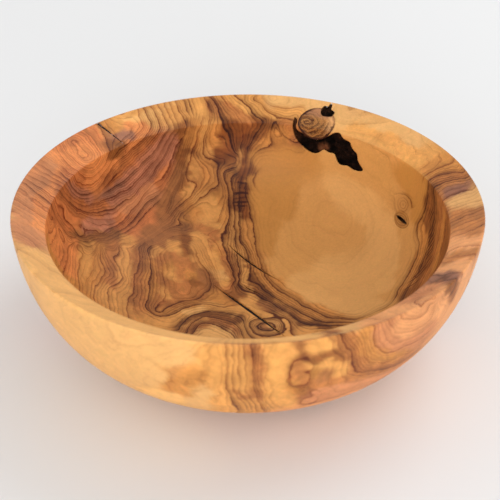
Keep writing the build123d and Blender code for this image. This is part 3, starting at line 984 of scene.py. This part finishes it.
def rim_knot_wood():
    """The knot's own wood: folds that wind round a point left of its middle. They are deep and dark on the
    left and at the bottom; the top and the right are smooth."""
    graph = Graph("rim_knot_wood")
    place = graph.position()
    x, y = RIM_KNOT.coordinates(graph)
    wander = graph.noise(place, 150.0, 3.0, roughness=0.6)
    level = knot_folds(graph, x, y, wander)
    folds = growth_marks(graph, level, 0.36, sharp=0.9, soft=2.2)
    torn = graph.stretch(graph.noise(place, 200.0, 2.0, w=graph.times(level, 0.7)), 0.4, 0.6, 0.5, 1.7)
    low = graph.stretch(graph.plus(y, graph.times(x, 0.35)), 3.0, -2.5, 0.25, 1.0)
    bands = graph.noise(place, 90.0, 2.0, w=graph.times(level, 1.3))
    colour = graph.mix(graph.stretch(bands, 0.42, 0.58), rgba(250, 180, 98), rgba(150, 82, 36))
    top = graph.stretch(graph.plus(y, graph.times(wander, 3.0)), 1.2, 4.0, 0.0, 0.85)
    colour = graph.mix(top, colour, rgba(178, 124, 88))
    right = graph.times(graph.stretch(x, 4.0, 7.0), graph.stretch(y, 5.0, 2.0), 0.8)
    colour = graph.mix(right, colour, rgba(236, 174, 112))
    around = distance_from(graph, x, y, KNOT_MIDDLE, (1.0, 1.0 / KNOT_FLATNESS))
    edge = graph.stretch(graph.plus(around, graph.times(wander, 3.0)), 11.0, 12.4)
    hem = graph.times(edge, graph.stretch(graph.plus(x, y), 6.0, -4.0, 0.35, 1.0))
    colour = graph.ink(graph.plus(graph.times(folds, torn, low), hem), colour, rgba(58, 23, 7))
    return graph.finish(colour, 0.45, graph.times(folds, -1.0), depth=0.3 * MM, specular=0.25)


def wall_knot_wood():
    """The small knot: much like the wood round it, with oval rings, and painted shade that colours its open
    slit near black.
    """
    graph = Graph("wall_knot_wood")
    x, y = WALL_KNOT.coordinates(graph)
    wander = graph.noise(graph.position(), 200.0, 3.0)
    reach = graph.plus(distance_from(graph, x, y, (-0.5, 0.0), (0.6, 1.0)), graph.times(wander, 1.4))
    rings = growth_marks(graph, graph.times(reach, 0.8), 0.8, sharp=0.15, soft=0.45)
    # painted shade: the open slit's recess is coloured near black, standing in for the shade inside it
    slit = graph.stretch(distance_from(graph, x, y, (0.0, 0.0), (0.2, 1.0)), 0.9, 1.2, 1.0, 0.0)
    colour = graph.mix(graph.stretch(wander, 0.35, 0.65), rgba(200, 142, 72), rgba(176, 116, 56))
    colour = graph.mix(graph.times(rings, 0.6), colour, rgba(96, 52, 20))
    colour = graph.mix(slit, colour, rgba(34, 16, 8))
    return graph.finish(colour, 0.5, graph.times(rings, -1.0), depth=0.1 * MM, specular=0.2)


def bark_crust():
    """Crumbling bark: almost black, with brown crumbs in the notch of its lower edge and along its arm."""
    graph = Graph("bark_crust")
    place = graph.position()
    x, y = RIM_KNOT.coordinates(graph)
    crumbs = graph.noise(place, 700.0, 4.0, roughness=0.65)
    clumps = graph.noise(place, 160.0, 3.0)
    notch = graph.stretch(distance_from(graph, x, y, BARK_NOTCH), 2.0, 4.5, 1.0, 0.0)
    arm = graph.stretch(x, -9.0, -13.0, 0.0, 0.45)
    stray = graph.times(graph.stretch(crumbs, 0.55, 0.7), graph.stretch(clumps, 0.5, 0.65), 0.5)
    brown = graph.times(graph.plus(notch, arm), graph.stretch(clumps, 0.38, 0.55), 0.8)
    black = graph.mix(graph.stretch(clumps, 0.4, 0.62), rgba(8, 4, 2), rgba(30, 16, 10))
    colour = graph.ink(graph.plus(stray, brown), black, rgba(122, 74, 46))
    return graph.finish(colour, 0.85, crumbs, depth=0.8 * MM, specular=0.06)


def crack_filler(name, painted_glint):
    """Dark filler with painted glints: the second argument sets how much of its colour is painted pale,
    standing in for highlights on the filler.
    """
    graph = Graph(name)
    ripple = graph.noise(graph.position(), 500.0, 3.0)
    # painted highlight: pale patches in the filler's colour stand in for glints of light on it
    share = graph.times(graph.stretch(ripple, 0.54, 0.66), painted_glint)
    colour = graph.mix(share, rgba(20, 10, 6), rgba(186, 144, 128))
    return graph.finish(colour, 0.35, ripple, depth=0.4 * MM, specular=0.2)


# ---------------------------------------------------------------- pieces

FLOOR_CRACKS = ("floor_crack_fill_upper", "floor_crack_fill_lower", "floor_crack_fill_link")
INSERTS = ("rim_knot", "knot_bark_lower", "knot_bark_upper", "wall_knot", "rim_crack_fill", *FLOOR_CRACKS)

# The turned mesh: vertices in each ring, and how far each rounding's finer rings reach to both sides
AROUND = 440
ARRIS_ZONE = 0.5 * MM
EDGE_ZONE = 1.8 * MM

# Doubled vertices this close are one vertex; a vertex this close to the turned surface lies on it
WELD = 0.01 * MM
ON_SURFACE = 0.05 * MM

# How far a cutter stands proud of the wood, and the clearance that it cuts round its insert
CUTTER_REACH = 0.8 * MM
CUTTER_GAP = 0.03 * MM

# Worn faces, in millimetres: the mesh's cells, how far the whole face is sunk, how much deeper its lumps
# go, and the size of the lumps
WEAR = {
    "knot_bark_lower": (0.4, 0.3, 1.8, 2.5),
    "knot_bark_upper": (0.3, 0.2, 1.2, 1.8),
    "rim_crack_fill": (0.3, 0.1, 0.5, 1.5),
    **{node: (0.2, 0.5, 0.4, 1.5) for node in FLOOR_CRACKS},
}

# The wear dies out at this depth below the wood's surface
WORN_DEPTH = 4 * MM

# The lumps' fractal: how fast its small lumps weaken, how much finer each layer is, and the layers
LUMP_FRACTAL = (0.9, 2.1, 4)


def new_object(name, data):
    """A mesh, light or camera as an object of the scene."""
    made = bpy.data.objects.new(name, data)
    bpy.context.scene.collection.objects.link(made)
    return made


def ring_places():
    """Distances along the section of the rings of the turned mesh."""
    arris_start, arris_end = ARRIS_PLACE - ARRIS_ZONE, ARRIS_PLACE + ARRIS_ZONE
    edge_start, edge_end = RIM_PLACE - EDGE_ZONE, RIM_PLACE + EDGE_ZONE
    foot_end, recess_start, recess_centre = ALONG[-3:]
    spans = (
        (0.0, FLAT_FLOOR, 2.0 * MM),
        (FLAT_FLOOR, arris_start, 1.25 * MM),
        (arris_start, arris_end, 0.2 * MM),
        (arris_end, edge_start, 1.3 * MM),
        (edge_start, edge_end, 0.4 * MM),
        (edge_end, FOOT_PLACE, 1.75 * MM),
        (FOOT_PLACE, foot_end, 3.0 * MM),
        (foot_end, recess_start, 1.0 * MM),
        (recess_start, recess_centre, 4.0 * MM),
    )
    places = [
        np.linspace(start, end, max(1, round((end - start) / step)), endpoint=False)
        for start, end, step in spans
    ]
    return np.concatenate(places)[1:]


def turned(place, angle):
    """Points at distances along the section and angles about the axis."""
    radius = np.interp(place, ALONG, SECTION[:, 0])
    height = np.interp(place, ALONG, SECTION[:, 1])
    return np.stack([radius * np.cos(angle), radius * np.sin(angle), height], -1)


def turned_mesh(name):
    """The turned body as a closed mesh of rings, with one vertex at each pole."""
    places = ring_places()
    angles = np.arange(AROUND) * 2 * math.pi / AROUND
    rings = turned(places[:, None].repeat(AROUND, 1), angles[None, :].repeat(len(places), 0))
    vertices = np.vstack([rings.reshape(-1, 3), [(0, 0, FLOOR), (0, 0, FOOT_RECESS)]])
    top, bottom = len(vertices) - 2, len(vertices) - 1
    last = (len(places) - 1) * AROUND
    faces = []
    for step in range(AROUND):
        after = (step + 1) % AROUND
        faces.append((top, step, after))
        faces.append((bottom, last + after, last + step))
        for start in range(0, last, AROUND):
            below = start + AROUND
            faces.append((start + step, below + step, below + after, start + after))
    mesh = bpy.data.meshes.new(name)
    mesh.from_pydata(vertices.tolist(), [], faces)
    mesh.update()
    return mesh


def welded_copy(node):
    """A copy of a CAD node's mesh with its doubled edge vertices joined."""
    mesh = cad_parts[node].data.copy()
    work = bmesh.new()
    work.from_mesh(mesh)
    bmesh.ops.remove_doubles(work, verts=work.verts, dist=WELD)
    work.to_mesh(mesh)
    work.free()
    return mesh


def wrap(mesh):
    """Replaces a mesh's faces with the tightest convex skin round its vertices."""
    work = bmesh.new()
    work.from_mesh(mesh)
    bmesh.ops.delete(work, geom=work.edges[:], context="EDGES_FACES")
    skin = bmesh.ops.convex_hull(work, input=work.verts[:])
    bmesh.ops.delete(work, geom=list(set(skin["geom_interior"] + skin["geom_unused"])), context="VERTS")
    work.to_mesh(mesh)
    work.free()


def cutter(node):
    """The shape of the hollow that a CAD piece fills, standing a little proud of the wood. The wall
    knot's open slit is part of its hollow."""
    mesh = welded_copy(node)
    if node == "wall_knot":
        wrap(mesh)
    points = vertex_points(mesh)
    _, _, depth, direction = locate(points)
    grown = points + np.array([list(vertex.normal) for vertex in mesh.vertices]) * CUTTER_GAP
    on_surface = np.abs(depth) < ON_SURFACE
    grown[on_surface] += direction[on_surface] * CUTTER_REACH
    mesh.vertices.foreach_set("co", grown.ravel())
    mesh.update()
    return new_object("cutter_" + node, mesh)


def apply_change(piece):
    """Makes the piece's one modifier a part of its mesh."""
    bpy.context.view_layer.update()
    graph = bpy.context.evaluated_depsgraph_get()
    result = bpy.data.meshes.new_from_object(piece.evaluated_get(graph))
    piece.modifiers.clear()
    piece.data = result


def cut(piece, tool):
    """Takes the tool's shape out of the piece, and drops the tool."""
    change = piece.modifiers.new("cut", "BOOLEAN")
    change.operation = "DIFFERENCE"
    change.solver = "MANIFOLD"
    change.object = tool
    apply_change(piece)
    bpy.data.objects.remove(tool)


def smooth(mesh, angle):
    """Smooth shading, broken at edges sharper than an angle in degrees."""
    mesh.shade_smooth()
    mesh.set_sharp_from_angle(angle=math.radians(angle))


def coat(piece, material):
    """Gives a piece its one material."""
    piece.data.materials.clear()
    piece.data.materials.append(material)


def stand_for(piece, node):
    """Puts a piece in the place of a CAD node."""
    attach(piece, "root")
    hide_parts(node)


def build_body():
    """The turned wood, with a hollow for every insert and the figure on it."""
    piece = new_object("turned_bowl", turned_mesh("turned_bowl"))
    for node in INSERTS:
        cut(piece, cutter(node))
    smooth(piece.data, 35)
    draw_figure(piece.data)
    stand_for(piece, "bowl_body")
    coat(piece, olive_wood())
    return piece


def dense_copy(node, cell):
    """A CAD node's shape as an even mesh of small cells."""
    piece = new_object(node + "_worn", welded_copy(node))
    change = piece.modifiers.new("remesh", "REMESH")
    change.mode = "VOXEL"
    change.voxel_size = cell
    apply_change(piece)
    return piece


def worn_insert(node, material):
    """Stands for a CAD insert: its face is lumpy and lies below the wood."""
    cell, sunk, rough, lump = (size * MM for size in WEAR[node])
    piece = dense_copy(node, cell)
    mesh = piece.data
    points = vertex_points(mesh)
    _, _, depth, direction = locate(points)
    lumps = np.array([noise.fractal(Vector(point) / lump, *LUMP_FRACTAL) for point in points])
    near = np.clip(1 - depth / WORN_DEPTH, 0, 1)
    sinking = near * (sunk + rough * np.clip(0.5 + lumps, 0, 1.2))
    mesh.vertices.foreach_set("co", (points - direction * sinking[:, None]).ravel())
    mesh.update()
    smooth(mesh, 60)
    stand_for(piece, node)
    coat(piece, material)


def build_inserts():
    """The bark and the fillers with worn faces, and the two knots as they are in the CAD."""
    bark = bark_crust()
    # the rim crack's filler has painted glints: pale highlight patches painted into its colour
    painted_glint_filler = crack_filler("rim_crack_filler", 0.9)
    black = crack_filler("floor_crack_filler", 0.0)
    worn_insert("knot_bark_lower", bark)
    worn_insert("knot_bark_upper", bark)
    worn_insert("rim_crack_fill", painted_glint_filler)
    for node in FLOOR_CRACKS:
        worn_insert(node, black)
    coat(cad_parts["rim_knot"], rim_knot_wood())
    coat(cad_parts["wall_knot"], wall_knot_wood())


# ---------------------------------------------------------------- the studio

FLOOR_REACH = 6.0

# Strength of the white surroundings at the horizon, and at and above a height of the looking direction
HORIZON_LIGHT = 1.3
OVERHEAD_LIGHT = 0.65
OVERHEAD_FROM = 0.8
SURROUNDINGS = (1.0, 0.99, 0.98, 1.0)

CAMERA_PLACE = (0.0, -0.677444, 0.497561)
CAMERA_FORWARD = (0.00145, 0.83564, -0.54927)
SENSOR_WIDTH = 36.0
FOCAL_LENGTH = 107.85
APERTURE = 16.0


def build_floor():
    """A wide sheet of pale paper that the bowl stands on."""
    mesh = bpy.data.meshes.new("floor")
    corners = [(x * FLOOR_REACH, y * FLOOR_REACH, 0) for x, y in ((-1, -1), (1, -1), (1, 1), (-1, 1))]
    mesh.from_pydata(corners, [], [(0, 1, 2, 3)])
    mesh.materials.append(Graph("floor_paper").finish(rgba(231, 232, 233), 0.6, specular=0.2))
    new_object("floor", mesh)


def area_light(name, place, aim, size, power):
    """A round white screen of light."""
    light = bpy.data.lights.new(name, "AREA")
    light.shape = "DISK"
    light.size = size
    light.energy = power
    lamp = new_object(name, light)
    lamp.location = place
    lamp.rotation_euler = (Vector(aim) - Vector(place)).to_track_quat("-Z", "Y").to_euler()


def build_world():
    """A white studio all round: brighter near the horizon than overhead."""
    world = bpy.data.worlds.new("studio")
    world.use_nodes = True
    nodes, links = world.node_tree.nodes, world.node_tree.links
    ray = nodes.new("ShaderNodeTexCoord")
    axes = nodes.new("ShaderNodeSeparateXYZ")
    height = nodes.new("ShaderNodeMapRange")
    height.inputs["From Min"].default_value = 0.0
    height.inputs["From Max"].default_value = OVERHEAD_FROM
    height.inputs["To Min"].default_value = HORIZON_LIGHT
    height.inputs["To Max"].default_value = OVERHEAD_LIGHT
    links.new(ray.outputs["Generated"], axes.inputs[0])
    links.new(axes.outputs["Z"], height.inputs["Value"])
    links.new(height.outputs["Result"], nodes["Background"].inputs["Strength"])
    nodes["Background"].inputs["Color"].default_value = SURROUNDINGS
    bpy.context.scene.world = world


def build_lights():
    """A window behind on the right, a large screen in front, and the white surroundings."""
    build_world()
    area_light("window", place=(0.9, 0.7, 1.3), aim=(0, 0, 0.04), size=1.2, power=8.0)
    area_light("front_screen", place=(-0.2, -2.0, 0.45), aim=(0, 0, 0.02), size=1.6, power=30.0)
    bpy.context.scene.view_settings.view_transform = "Standard"


def build_camera(subject):
    """A long lens from above the front, focused on the subject."""
    lens = bpy.data.cameras.new("camera")
    lens.sensor_width = SENSOR_WIDTH
    lens.lens = FOCAL_LENGTH
    lens.clip_start = 0.01
    lens.dof.use_dof = True
    lens.dof.focus_object = subject
    lens.dof.aperture_fstop = APERTURE
    camera = new_object("camera", lens)
    camera.location = CAMERA_PLACE
    camera.rotation_euler = Vector(CAMERA_FORWARD).to_track_quat("-Z", "Y").to_euler()
    bpy.context.scene.camera = camera


body = build_body()
build_inserts()
build_floor()
build_lights()
build_camera(body)
